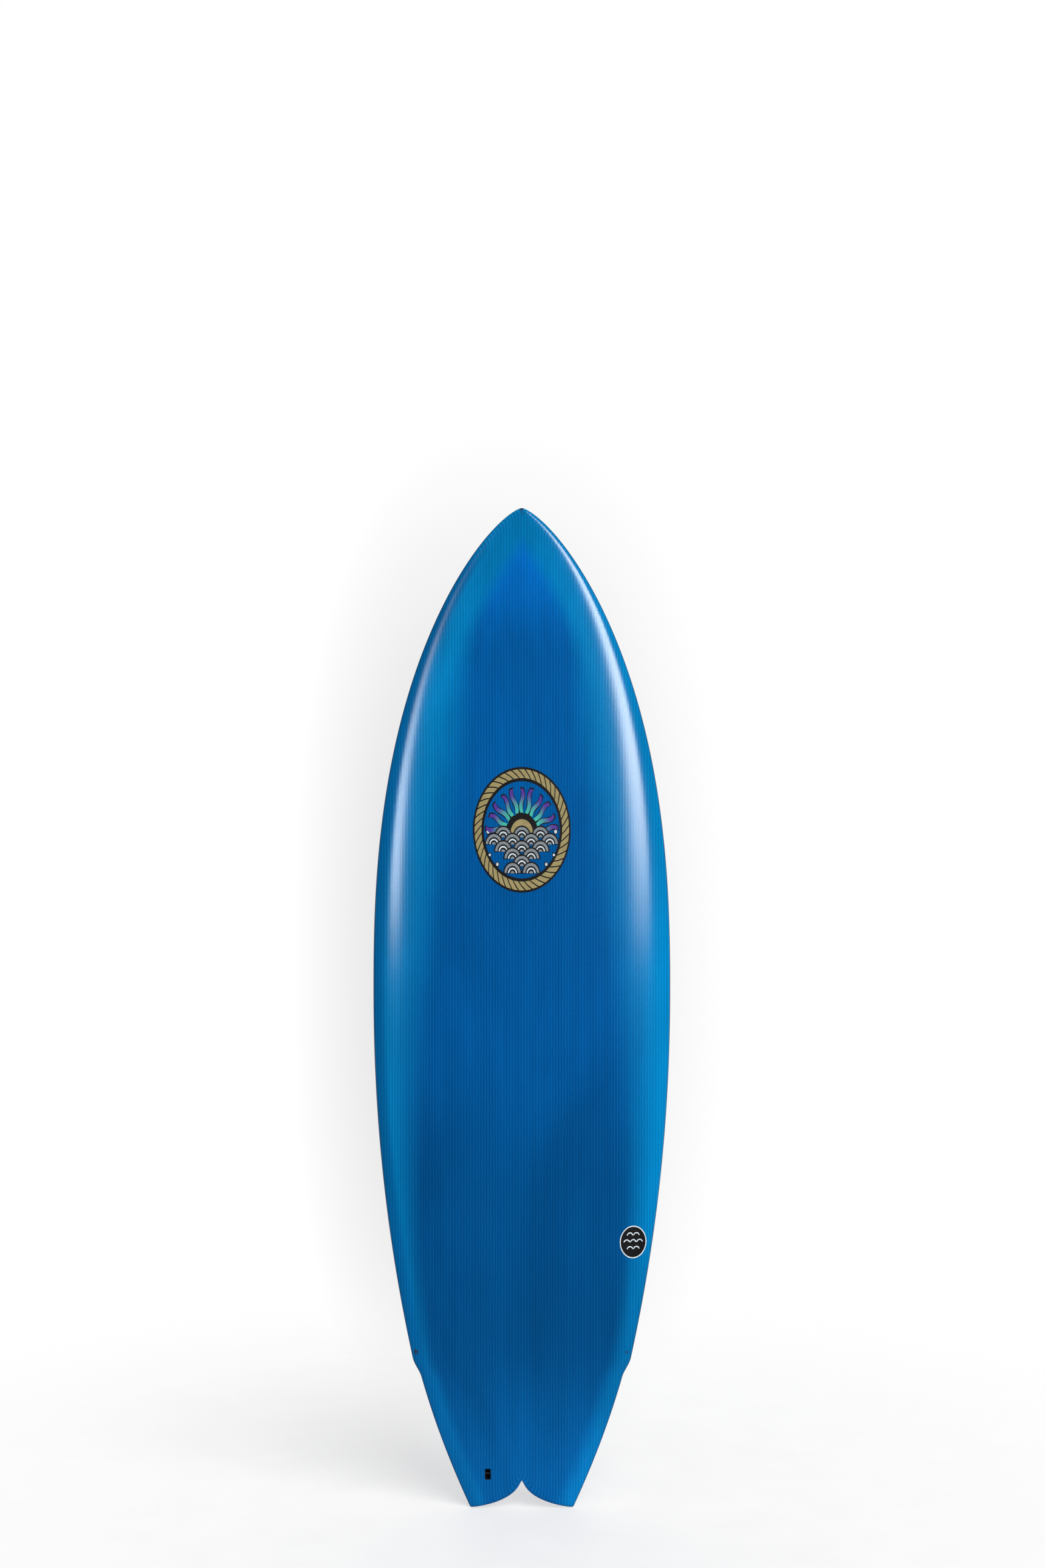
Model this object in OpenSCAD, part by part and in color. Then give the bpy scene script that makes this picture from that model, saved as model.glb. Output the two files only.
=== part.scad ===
// Winged swallow-tail shortboard, standing on its tail tips with the deck facing -Y.
// +Z runs up the board from tail to nose, +X is the rider's right. Millimetres.

/* [Outline] */
// Length from the tail tips to the nose
board_length = 1727; // [1700:1:1760]
// Full width at the widest point
board_width = 521; // [500:1:540]
// Height of the widest point above the tail tips
wide_point = 900; // [880:5:920]
// Half width at the tail corners
tail_half = 89.3; // [85:0.1:95]
// Top of the short step in the rail that makes the wing
wing_top = 254; // [248:1:262]
// Length of the step along the rail
wing_length = 32; // [24:1:40]
// Depth of the swallow notch
notch_depth = 46; // [38:1:54]

/* [Rocker and foil] */
// Thickness at the middle of the board
board_thickness = 63.5; // [58:0.5:70]
// Thickness at the nose
nose_thickness = 10; // [8:0.5:14]
// Thickness at the tail
tail_thickness = 18; // [16:0.5:22]
// How far the nose bends towards the deck side
nose_rocker = 120; // [100:1:135]
// How far the tail bends towards the deck side
tail_rocker = 54; // [45:1:60]
// Share of the thickness that lies below the rail's outermost line
rail_share = 0.38; // [0.34:0.01:0.45]
// Thickness of the glass laminate
skin_t = 1.2; // [1:0.1:1.6]

/* [Fins] */
// Distance from the tail tips to the trailing edge of the side fins
side_fin_rear = 280; // [270:1:295]
// Distance from the tail tips to the trailing edge of the centre fin
center_fin_rear = 89; // [86:1:100]
// Distance of a side fin box from the rail
side_fin_inset = 38; // [36:1:44]
// Turn of the side fins towards the nose, in degrees
fin_toe = 3; // [0:0.5:4]
// Outward lean of the side fins, in degrees
fin_cant = 6.5; // [0:0.5:8]
// Length of a fin's base
fin_base = 111; // [106:1:116]
// Height of a fin above the board
fin_height = 114; // [100:1:118]
// Greatest thickness of a fin
fin_t = 6.6; // [6:0.1:7.5]

/* [Fin boxes] */
// Length of a fin box
box_length = 104; // [100:1:108]
// Width of a fin box
box_width = 22; // [22:0.5:26]
// Depth of a fin box
box_depth = 17; // [16:0.5:18]
// Length, thickness and depth of a fin's base tab
tab_size = [26, 6.4, 13.5];
// Distance from the middle of the box to the middle of a tab
tab_offset = 26; // [24:1:28]
// Gap around a tab in its well
tab_gap = 0.3; // [0.3:0.05:0.4]

/* [Grub screws] */
// Radius of a grub screw
screw_r = 2.4; // [2.2:0.1:2.5]
// Length of a grub screw
screw_length = 6; // [5:0.5:6.5]
// Radius of the screw's hexagon socket, across its corners
socket_r = 1.37; // [1.2:0.01:1.5]
// Lean of the screw towards its tab, in degrees
screw_lean = 20; // [16:1:22]

/* [Leash plug] */
// Place of the plug across and up the board
leash_at = [-59, 59]; // two values
// Radius of the plug's round cup
cup_r = 14; // [13:0.5:15]
// Depth of the cup
cup_depth = 15; // [14:0.5:15.5]
// Width, height and depth of the slot
slot_size = [10, 18.5, 12];
// Radius of the slot's corners
slot_corner = 1.8; // [1:0.1:3]
// Radius of the steel pin
pin_r = 1.5; // [1.25:0.05:1.6]
// Depth of the pin's middle below the top of the cup
pin_depth = 4; // [3.5:0.1:5]

/* [Prints] */
// Half width and half height of the large deck print
emblem_half = [85, 109];
// Place of the large print across and up the board
emblem_at = [0, 1176];
// Half width and half height of the small print near the rail
badge_half = [23.5, 28.5];
// Place of the small print across and up the board
badge_at = [194, 458];
// Thickness of a print
print_t = 0.25; // [0.2:0.05:0.4]

/* [Hidden] */

$fn = 48;
LEFT = -1;
CENTER = 0;
RIGHT = 1;
FRONT = -1;
REAR = 1;
DECK = -1;
BOTTOM = 1;

bottom_y = 20;          // the flat middle of the bottom; centres board and fins on the origin
half_width = board_width / 2;
wing_bottom = wing_top - wing_length;
tail_zone = 120;        // below this the stations bend to follow the notch
blend_zone = [100, 400];// the stretch over which the inner surface forgets the wing
edge_round = 9;         // radius of the rounded tail edge, measured along the board
nose_round = 7;         // the same at the nose tip
columns = 11;           // columns of the surface grid on each side of the middle
nose_rows = 23;         // rows from the nose tip to the wing
wing_rows = 5;
round_rows = 4;
bond = 0.1;             // glue line round a cast-in piece
print_gap = 0.3;        // resin between the laminate and a print
surface_gap = 0.3;      // gap under a removable fin
thread_gap = 0.08;      // running clearance of a grub screw
far = 40;               // long enough for a cutter to clear the board

function clamp01(v) = min(max(v, 0), 1);
function mix(a, b, t) = a + (b - a) * t;
function smoothstep(v) = let (c = clamp01(v)) c * c * (3 - 2 * c);
function cosine_step(i, n) = (1 - cos(180 * i / n)) / 2;
function unit(v) = v / norm(v);

// ---- The board's lines. e is an inset: 0 on the outside, skin_t on the foam. ----

function nose_half(z, e) =
    (half_width - e) * pow(clamp01(1 - pow((z - wide_point) / (board_length - e - wide_point), 2.41)), 0.7245);
function rear_half(z) = half_width - 140 * pow((wide_point - z) / wide_point, 2.1);
function tail_line(z) = tail_half + 0.4853 * z - 0.000435 * z * z;

// Half width at the rail, with the wing's step
function rail_half(z, e = 0) =
    z > wide_point ? nose_half(z, e)
    : mix(tail_line(z), rear_half(z), smoothstep((z - wing_bottom) / wing_length)) - e;
// Half width that the inner surface follows, which runs smoothly past the wing
function smooth_half(z, e = 0) =
    z > wide_point ? nose_half(z, e)
    : mix(tail_line(z), rear_half(z), smoothstep((z - blend_zone[0]) / (blend_zone[1] - blend_zone[0]))) - e;

function bottom_line(z) =
    bottom_y - nose_rocker * pow(clamp01((z - wide_point) / (board_length - wide_point)), 2.6)
    - tail_rocker * pow(clamp01((wide_point - z) / wide_point), 2.3);
function thickness(z) =
    z > wide_point
    ? mix(nose_thickness, board_thickness,
          pow(1 - pow(clamp01((z - wide_point) / (board_length - wide_point)), 2), 1.2))
    : mix(tail_thickness, board_thickness,
          pow(1 - pow(clamp01((wide_point - z) / wide_point), 2.4), 1.1));

// Height of the section over the rail line, for s from 0 in the middle to 1 at the rail
function dome(s) = sqrt(clamp01(1 - pow(abs(s), 2.4)));
function flat(s) = sqrt(clamp01(1 - pow(abs(s), 16)));

function surface_y(side, s, z, e, full = 1) =
    let (t = thickness(z) - 2 * e, rail = bottom_line(z) - e - rail_share * t)
    side == DECK ? rail - (1 - rail_share) * t * dome(s) * full
    : rail + rail_share * t * flat(s) * full;

// The outside at a place away from the edges
function skin_y(side, x, z) = surface_y(side, x / smooth_half(z), z, 0);
function skin_point(side, x, z) = [x, skin_y(side, x, z), z];
function skin_normal(side, x, z) =
    let (across = skin_point(side, x + 1, z) - skin_point(side, x - 1, z),
         along = skin_point(side, x, z + 1) - skin_point(side, x, z - 1))
    side * unit(cross(along, across));

// The swallow notch: where the board ends at each s, with a rounded apex and rounded corners
apex_s = 0.015;
corner_s = 0.97;
corner_rise = 2.5;
function notch_curve(s) = 1 - pow(1 - pow(1 - s, 1.5), 0.3);
function tail_edge(s) =
    notch_depth * notch_curve(clamp01(norm([s, apex_s]))) / notch_curve(apex_s)
    + corner_rise * (1 - sqrt(1 - pow(clamp01((abs(s) - corner_s) / (1 - corner_s)), 2)));

// ---- The surface grid: rows from the nose tip to the tail edge, columns across. ----

rows = concat(
    [for (i = [0:nose_rows]) board_length - (board_length - wing_top) * pow(i / nose_rows, 1.8)],
    [for (i = [1:wing_rows]) wing_top - wing_length * i / wing_rows],
    [180, 140, 105, 75, 50, 32, 18],
    [for (i = [0:round_rows]) edge_round * (1 - sin(90 * i / round_rows))]
);
row_count = len(rows) - 1;
column_count = 2 * columns;

function column_s(j) =
    j < columns ? -cosine_step(columns - j, columns) : cosine_step(j - columns, columns);
function row_z(q, s, e) =
    q > wide_point ? mix(wide_point, board_length - e, (q - wide_point) / (board_length - wide_point))
    : q > tail_zone ? q
    : q + (tail_edge(s) + e) * (1 - q / tail_zone);
function end_round(q) =
    q > wide_point ? sqrt(1 - pow(1 - clamp01((board_length - q) / nose_round), 2))
    : sqrt(1 - pow(1 - clamp01(q / edge_round), 2));
function grid_point(side, i, j, e) =
    let (q = rows[i], s = column_s(j), z = row_z(q, s, e), wide = smooth_half(z, e),
         step = rail_half(z, e) - wide)
    [s * wide + sign(s) * step * pow(abs(s), 6), surface_y(side, s, z, e, end_round(q)), z];
function grid_points(side, e) = concat(
    [grid_point(side, 0, columns, e)],
    [for (i = [1:row_count], j = [0:column_count]) grid_point(side, i, j, e)]
);
function grid_index(i, j) = i == 0 ? 0 : 1 + (i - 1) * (column_count + 1) + j;
function low_index(i, j) =
    i == 0 || i == row_count || j == 0 || j == column_count ? grid_index(i, j)
    : 1 + row_count * (column_count + 1) + (i - 1) * (column_count - 1) + j - 1;
function turned(faces) = [for (f = faces) [for (k = [len(f) - 1:-1:0]) f[k]]];
// Both halves of four-cornered faces, so that surfaces that touch are split the same way
function halves(quads) = [for (q = quads, k = [1, 2]) [q[0], q[k], q[k + 1]]];
// The corners of a grid cell, each side of the board starting so that the split is mirrored
function cell(i, j) =
    j < columns ? [[i + 1, j], [i + 1, j + 1], [i, j + 1], [i, j]]
    : [[i, j], [i + 1, j], [i + 1, j + 1], [i, j + 1]];

deck_faces = concat(
    [for (j = [0:column_count - 1]) [0, grid_index(1, j), grid_index(1, j + 1)]],
    halves([for (i = [1:row_count - 1], j = [0:column_count - 1])
        [for (c = cell(i, j)) grid_index(c[0], c[1])]])
);
low_faces = concat(
    [for (j = [0:column_count - 1]) [0, low_index(1, j + 1), low_index(1, j)]],
    halves([for (i = [1:row_count - 1], j = [0:column_count - 1]) let (c = cell(i, j))
        [for (k = [0, 3, 2, 1]) low_index(c[k][0], c[k][1])]])
);
// Once round the rim of the grid, from the nose tip down the left rail
rim = concat(
    [for (i = [0:row_count]) grid_index(i, 0)],
    [for (j = [1:column_count]) grid_index(row_count, j)],
    [for (i = [row_count - 1:-1:1]) grid_index(i, column_count)]
);

// The whole board inset by e
module board_solid(e) {
    inner = [for (i = [1:row_count - 1], j = [1:column_count - 1]) grid_point(BOTTOM, i, j, e)];
    polyhedron(concat(grid_points(DECK, e), inner), concat(deck_faces, low_faces), 10);
}

// The laminate on one side, from the outside in to the foam
module laminate(side) {
    outer = grid_points(side, 0);
    n = len(outer);
    inside = [for (f = turned(deck_faces)) [for (k = f) k + n]];
    edge = halves([for (k = [0:len(rim) - 1]) let (a = rim[k], b = rim[(k + 1) % len(rim)])
        [a, a + n, b + n, b]]);
    faces = concat(deck_faces, inside, edge);
    polyhedron(concat(outer, grid_points(side, skin_t)), side == DECK ? faces : turned(faces), 10);
}

// ---- Frames on the board's surface: +Z out of the board, -Y towards the nose. ----

module on_surface(side, x, z, sink = 0) {
    n = skin_normal(side, x, z);
    p = skin_point(side, x, z) - sink * n;
    a = unit([1, 0, 0] - n[0] * n);
    b = cross(n, a);
    multmatrix([[a[0], b[0], n[0], p[0]], [a[1], b[1], n[1], p[1]], [a[2], b[2], n[2], p[2]], [0, 0, 0, 1]])
        children();
}

function fin_z(place) = (place == CENTER ? center_fin_rear : side_fin_rear) + fin_base / 2;
function fin_x(place) = place * (rail_half(fin_z(place)) - side_fin_inset);

module at_fin(place) {
    on_surface(BOTTOM, fin_x(place), fin_z(place)) rotate([0, 0, -place * fin_toe]) children();
}

module box_outline(grow, low, high) {
    r = box_width / 2 + grow;
    reach = (box_length - box_width) / 2;
    translate([0, 0, low]) {
        for (end = [FRONT, REAR]) translate([0, end * reach, 0]) cylinder(r = r, h = high - low);
        translate([-r, -reach, 0]) cube([2 * r, 2 * reach, high - low]);
    }
}

// A screw's axis: its tip beside the tab, leaning towards the rail as it rises
tip_x = tab_size[1] / 2 + 2 * tab_gap + screw_r * cos(screw_lean);
tip_depth = 7;
module at_screw(place, end) {
    turn = place == LEFT ? -1 : 1;
    translate([turn * tip_x, end * tab_offset, -tip_depth]) rotate([0, turn * screw_lean, 0]) children();
}

module leash_frame() {
    on_surface(DECK, leash_at[0], leash_at[1], skin_t + 0.4) children();
}

module slot_cutter(low, high) {
    w = slot_size[0] / 2 - slot_corner;
    h = slot_size[1] / 2 - slot_corner;
    translate([0, 0, low]) {
        for (x = [-w, w], y = [-h, h]) translate([x, y, 0]) cylinder(r = slot_corner, h = high - low);
        translate([-w, -h - slot_corner, 0]) cube([2 * w, 2 * (h + slot_corner), high - low]);
        translate([-w - slot_corner, -h, 0]) cube([2 * (w + slot_corner), 2 * h, high - low]);
    }
}

// ---- The board's body ----

module foam_core() {
    color("white") difference() {
        board_solid(skin_t);
        for (place = [LEFT, CENTER, RIGHT]) at_fin(place) box_outline(bond, -box_depth - bond, far);
        leash_frame() translate([0, 0, -cup_depth - bond]) cylinder(r = cup_r + bond, h = cup_depth + far);
    }
}

module deck_skin() {
    color([0.0, 0.35, 0.63]) difference() {
        laminate(DECK);
        leash_frame() slot_cutter(-slot_size[2], far);
    }
}

module bottom_skin() {
    color([0.0, 0.32, 0.58]) difference() {
        laminate(BOTTOM);
        for (place = [LEFT, CENTER, RIGHT]) at_fin(place) box_outline(bond, -box_depth, far);
    }
}

// ---- Prints, laid on the deck as thin ovals ----

module deck_print(at, half, rings, spokes) {
    function spot(ring, k, lift) =
        let (x = at[0] + half[0] * ring / rings * cos(360 * k / spokes),
             z = at[1] + half[1] * ring / rings * sin(360 * k / spokes))
        skin_point(DECK, x, z) - [0, lift, 0];
    function sheet(lift) = concat(
        [spot(0, 0, lift)], [for (ring = [1:rings], k = [0:spokes - 1]) spot(ring, k, lift)]);
    function index(ring, k) = ring == 0 ? 0 : 1 + (ring - 1) * spokes + k % spokes;
    front = concat(
        [for (k = [0:spokes - 1]) [0, index(1, k + 1), index(1, k)]],
        [for (ring = [1:rings - 1], k = [0:spokes - 1])
            [index(ring, k), index(ring, k + 1), index(ring + 1, k + 1), index(ring + 1, k)]]
    );
    n = 1 + rings * spokes;
    back = [for (f = turned(front)) [for (k = f) k + n]];
    edge = [for (k = [0:spokes - 1])
        [index(rings, k), index(rings, k + 1), index(rings, k + 1) + n, index(rings, k) + n]];
    polyhedron(concat(sheet(print_gap + print_t), sheet(print_gap)), concat(front, back, edge), 4);
}

module deck_emblem() {
    color([0.75, 0.66, 0.4]) deck_print(emblem_at, emblem_half, 6, 28);
}

module rail_badge() {
    color([0.05, 0.05, 0.06]) deck_print(badge_at, badge_half, 3, 20);
}

// ---- Leash plug ----

module leash_cup() {
    color([0.04, 0.04, 0.05]) leash_frame() difference() {
        translate([0, 0, -cup_depth]) cylinder(r = cup_r, h = cup_depth);
        slot_cutter(-slot_size[2], far);
        pin_rod();
    }
}

module pin_rod() {
    translate([-cup_r * 0.75, 0, -pin_depth]) rotate([0, 90, 0]) cylinder(r = pin_r, h = cup_r * 1.5);
}

module leash_pin() {
    color([0.75, 0.76, 0.78]) leash_frame() pin_rod();
}

// ---- Fin boxes, fins and screws ----

module fin_box(place) {
    well = [tab_size[1] + 2 * tab_gap, tab_size[0] + 2 * tab_gap, far];
    color([0.05, 0.05, 0.06]) at_fin(place) difference() {
        box_outline(0, -box_depth, 0);
        for (end = [FRONT, REAR]) {
            translate([-well[0] / 2, end * tab_offset - well[1] / 2, -tab_size[2] - 2 * tab_gap]) cube(well);
            at_screw(place, end) translate([0, 0, -1]) cylinder(r = screw_r + thread_gap, h = far);
        }
    }
}

fin_rows = 9;
foil_points = 8;
fin_edge = 0.6;         // thickness of the leading and trailing edges
pad_height = 1.6;       // solid foot that joins the blade to its tabs
function foil(u) = 2.598 * sqrt(u) * (1 - u);
function fin_chord(v) = fin_base * pow(1 - pow(v, 1.5), 0.7);
function fin_rear(v) = fin_base / 2 - 12 * sin(180 * v) + 22 * v * v;
// Share of the foil's thickness on the inner side: even on the centre fin, flatter inside on the others
function inner_share(place) = place == CENTER ? 0.5 : 0.2;
// One point of the blade: v up the fin, u from its leading edge, face 1 outside and 0 inside
function fin_point(place, v, u, face) =
    let (chord = fin_chord(v), full_t = fin_t - fin_edge, t = full_t * (1 - 0.7 * v) * foil(u),
         share = inner_share(place), z = surface_gap + v * fin_height,
         bulge = face == 1 ? (1 - share) * t + fin_edge / 2 : -share * t - fin_edge / 2,
         lean = abs(place) * z * tan(fin_cant) - (0.5 - share) * full_t,
         turn = place == LEFT ? -1 : 1)
    [turn * (bulge + lean), fin_rear(v) - chord * (1 - u), z];

module fin(place) {
    loop = concat(
        [for (k = [0:foil_points]) [cosine_step(k, foil_points), 1]],
        [for (k = [foil_points:-1:0]) [cosine_step(k, foil_points), 0]]
    );
    n = len(loop);
    heights = [for (r = [0:fin_rows]) 0.008 + 0.977 * sin(90 * r / fin_rows)];
    points = [for (v = heights, p = loop) fin_point(place, v, p[0], p[1])];
    sides = [for (r = [0:fin_rows - 1], k = [0:n - 1]) let (a = r * n + k, b = r * n + (k + 1) % n)
        [a, b, b + n, a + n]];
    faces = concat(sides, [[for (k = [n - 1:-1:0]) k]], [[for (k = [0:n - 1]) fin_rows * n + k]]);
    r = fin_t / 2 + 0.4;
    reach = fin_base / 2 - r;
    color([0.09, 0.09, 0.1]) at_fin(place) {
        polyhedron(points, place == LEFT ? faces : turned(faces), 4);
        translate([0, 0, surface_gap]) {
            for (end = [FRONT, REAR]) translate([0, end * reach, 0]) cylinder(r = r, h = pad_height);
            translate([-r, -reach, 0]) cube([2 * r, 2 * reach, pad_height]);
        }
        for (end = [FRONT, REAR])
            translate([-tab_size[1] / 2, end * tab_offset - tab_size[0] / 2, -tab_size[2]])
                cube([tab_size[1], tab_size[0], tab_size[2] + surface_gap + pad_height / 2]);
    }
}

module screw(place, end) {
    color([0.7, 0.7, 0.72]) at_fin(place) at_screw(place, end) difference() {
        cylinder(r = screw_r, h = screw_length);
        translate([0, 0, screw_length / 2]) cylinder(r = socket_r, h = screw_length, $fn = 6);
    }
}

foam_core();
deck_skin();
bottom_skin();
deck_emblem();
rail_badge();
leash_cup();
leash_pin();
fin_box(LEFT);  // fin_box_left
fin_box(RIGHT);  // fin_box_right
fin_box(CENTER);  // fin_box_center
fin(LEFT);  // fin_left
fin(RIGHT);  // fin_right
fin(CENTER);  // fin_center
screw(LEFT, FRONT);  // screw_left_front
screw(LEFT, REAR);  // screw_left_rear
screw(RIGHT, FRONT);  // screw_right_front
screw(RIGHT, REAR);  // screw_right_rear
screw(CENTER, FRONT);  // screw_center_front
screw(CENTER, REAR);  // screw_center_rear
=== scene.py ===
import math

import bpy
import numpy as np
from mathutils import Matrix, Vector


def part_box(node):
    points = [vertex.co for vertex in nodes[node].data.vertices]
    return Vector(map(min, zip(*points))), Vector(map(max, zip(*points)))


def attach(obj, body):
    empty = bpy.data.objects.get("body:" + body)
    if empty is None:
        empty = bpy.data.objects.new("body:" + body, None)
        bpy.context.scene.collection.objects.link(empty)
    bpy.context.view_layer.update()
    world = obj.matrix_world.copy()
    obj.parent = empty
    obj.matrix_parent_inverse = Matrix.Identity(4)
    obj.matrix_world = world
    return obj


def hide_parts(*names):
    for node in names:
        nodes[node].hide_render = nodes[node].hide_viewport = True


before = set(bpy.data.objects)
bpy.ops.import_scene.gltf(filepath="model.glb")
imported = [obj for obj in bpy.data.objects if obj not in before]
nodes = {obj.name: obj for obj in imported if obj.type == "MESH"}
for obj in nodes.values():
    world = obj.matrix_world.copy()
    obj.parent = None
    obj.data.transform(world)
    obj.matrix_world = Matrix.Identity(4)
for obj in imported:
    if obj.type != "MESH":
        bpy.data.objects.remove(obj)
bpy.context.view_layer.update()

# ---- Sizes in metres: the whole board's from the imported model, the rest its own lines ----

deck_low, deck_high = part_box("deck_skin")
LENGTH = deck_high.z
HALF_WIDTH = (deck_high.x - deck_low.x) / 2
BOTTOM_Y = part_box("bottom_skin")[1].y      # the flat middle of the bottom

WIDE_Z = 0.900             # the widest point
TAIL_HALF = 0.0893         # half width at the tail corners
WING_BOTTOM, WING_TOP = 0.222, 0.254
BLEND = (0.100, 0.400)     # the stretch over which the inner surface forgets the wing
NOTCH_DEPTH = 0.046
APEX_S, CORNER_S, CORNER_RISE = 0.015, 0.97, 0.0025
TAIL_ZONE = 0.120          # below this the rows bend to follow the notch
EDGE_ROUND, NOSE_ROUND = 0.009, 0.007
BOARD_T, NOSE_T, TAIL_T = 0.0635, 0.010, 0.018
NOSE_ROCKER, TAIL_ROCKER = 0.120, 0.054
RAIL_SHARE = 0.38          # share of the thickness below the rail's outermost line
SKIN_T = 0.0012
DECK, BOTTOM = -1, 1
LEFT, CENTER, RIGHT = -1, 0, 1
SIDES = {"left": LEFT, "right": RIGHT, "center": CENTER}

LEASH_AT = (-0.059, 0.059)
SLOT = (0.0100, 0.0185, 0.0018)       # width, height and corner radius
BOX = (0.022, 0.104)                  # width and length of a fin box
SIDE_FIN_REAR, CENTER_FIN_REAR = 0.280, 0.089
FIN_BASE, FIN_HEIGHT, FIN_T = 0.111, 0.114, 0.0066
FIN_EDGE = 0.0006                     # thickness of the leading and trailing edges
FIN_INSET, FIN_TOE, FIN_CANT = 0.038, 3.0, 6.5
SEAT_GAP, FOOT_T = 0.0003, 0.0016     # the fin's foot rides just over the box
TAB, TAB_AT = (0.0064, 0.026, 0.0135), 0.026
CUT_REACH = 0.004                     # how far a cutting tool goes to each side of the surface

RIB_PITCH = 0.0050
EMBLEM_AT = (0.0, 1.176)
EMBLEM_HALF = (0.085, 0.109)
BADGE_AT = (0.194, 0.458)
BADGE_HALF = (0.0235, 0.0285)
PRINT_LIFT = 0.00020       # the lowest print layer's height over the laminate
LAYER = 0.00004            # the step from one print layer to the next
RESIN_SPOTS = [(-0.183, 0.267, 0.0042), (0.1838, 0.266, 0.0030), (0.0, 1.7245, 0.0050)]   # x, z, radius


# ---- The board's lines. e is an inset: 0 outside, SKIN_T on the foam. ----

def mix(a, b, t):
    return a + (b - a) * t


def ease(v):
    v = np.clip(v, 0, 1)
    return v * v * (3 - 2 * v)


def nose_half(z, e=0.0):
    up = np.maximum(z - WIDE_Z, 0) / (LENGTH - e - WIDE_Z)
    return (HALF_WIDTH - e) * np.clip(1 - up ** 2.41, 0, 1) ** 0.7245


def lower_half(z, step, e):
    """Half width below the widest point, where step goes from 0, the tail's line, to 1, the rail's."""
    down = np.maximum(WIDE_Z - z, 0) / WIDE_Z
    tail = TAIL_HALF + 0.4853 * z - 0.435 * z * z
    return mix(tail, HALF_WIDTH - 0.140 * down ** 2.1, step) - e


def rail_half(z, e=0.0):
    step = ease((z - WING_BOTTOM) / (WING_TOP - WING_BOTTOM))
    return np.where(z > WIDE_Z, nose_half(z, e), lower_half(z, step, e))


def smooth_half(z, e=0.0):
    step = ease((z - BLEND[0]) / (BLEND[1] - BLEND[0]))
    return np.where(z > WIDE_Z, nose_half(z, e), lower_half(z, step, e))


def bottom_line(z):
    up = np.clip((z - WIDE_Z) / (LENGTH - WIDE_Z), 0, 1)
    down = np.clip((WIDE_Z - z) / WIDE_Z, 0, 1)
    return BOTTOM_Y - NOSE_ROCKER * up ** 2.6 - TAIL_ROCKER * down ** 2.3


def thickness(z):
    up = np.clip((z - WIDE_Z) / (LENGTH - WIDE_Z), 0, 1)
    down = np.clip((WIDE_Z - z) / WIDE_Z, 0, 1)
    nose = mix(NOSE_T, BOARD_T, (1 - up ** 2) ** 1.2)
    tail = mix(TAIL_T, BOARD_T, (1 - down ** 2.4) ** 1.1)
    return np.where(z > WIDE_Z, nose, tail)


def surface_y(side, s, z, e=0.0, full=1.0):
    t = thickness(z) - 2 * e
    rail = bottom_line(z) - e - RAIL_SHARE * t
    across = np.minimum(np.abs(s), 1)
    if side == DECK:
        return rail - (1 - RAIL_SHARE) * t * np.sqrt(1 - across ** 2.4) * full
    return rail + RAIL_SHARE * t * np.sqrt(1 - across ** 16) * full


def skin_point(side, x, z):
    return Vector((x, float(surface_y(side, x / smooth_half(z), z)), z))


def skin_frame(side, x, z):
    """A place on the board: local +Z out of the surface, local -Y towards the nose."""
    step = 0.001
    across = skin_point(side, x + step, z) - skin_point(side, x - step, z)
    along = skin_point(side, x, z + step) - skin_point(side, x, z - step)
    out = side * along.cross(across).normalized()
    right = (Vector((1, 0, 0)) - out.x * out).normalized()
    axes = Matrix((right, out.cross(right), out)).transposed().to_4x4()
    return Matrix.Translation(skin_point(side, x, z)) @ axes


def notch_curve(s):
    return 1 - (1 - (1 - s) ** 1.5) ** 0.3


def tail_edge(s):
    """How high the board ends at each s: the swallow notch, with its corners rounded."""
    rise = np.clip((np.abs(s) - CORNER_S) / (1 - CORNER_S), 0, 1)
    notch = notch_curve(np.clip(np.hypot(s, APEX_S), 0, 1)) / notch_curve(APEX_S)
    return NOTCH_DEPTH * notch + CORNER_RISE * (1 - np.sqrt(1 - rise ** 2))


# ---- Making objects ----

def add_object(name, verts, faces, maps=None, sharp=40):
    """A smooth-shaded mesh. maps gives each UV map's two values at every vertex."""
    mesh = bpy.data.meshes.new(name)
    mesh.from_pydata([tuple(v) for v in verts], [], [tuple(int(k) for k in f) for f in faces])
    corners = np.empty(len(mesh.loops), np.int32)
    mesh.loops.foreach_get("vertex_index", corners)
    for label, values in (maps or {}).items():
        mesh.uv_layers.new(name=label).data.foreach_set("uv", values[corners].astype(np.float32).ravel())
    mesh.shade_smooth()
    mesh.set_sharp_from_angle(angle=math.radians(sharp))
    piece = bpy.data.objects.new(name, mesh)
    bpy.context.scene.collection.objects.link(piece)
    return piece


def dress(piece, body, slot, look, *stands_for):
    """Rides the piece on its body, gives it its material, and hides the CAD nodes that it stands for."""
    piece.data.materials.clear()
    piece.data.materials.append(look)
    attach(piece, body)
    if stands_for:
        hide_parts(*stands_for)
    return piece


def grid_faces(rows, columns, start=0, wrap=False):
    """Four-cornered faces of a grid whose rows hold `columns` vertices each."""
    last = columns if wrap else columns - 1
    return [(start + i * columns + j, start + (i + 1) * columns + j,
             start + (i + 1) * columns + (j + 1) % columns, start + i * columns + (j + 1) % columns)
            for i in range(rows - 1) for j in range(last)]


def turned(faces):
    return [f[::-1] for f in faces]


def prism(name, outline, low, high, place):
    """A closed straight-sided solid between two heights of a local frame."""
    n = len(outline)
    verts = [place @ Vector((x, y, h)) for h in (low, high) for x, y in outline]
    sides = [(k, (k + 1) % n, n + (k + 1) % n, n + k) for k in range(n)]
    return add_object(name, verts, sides + [tuple(range(n))[::-1], tuple(range(n, 2 * n))])


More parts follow.
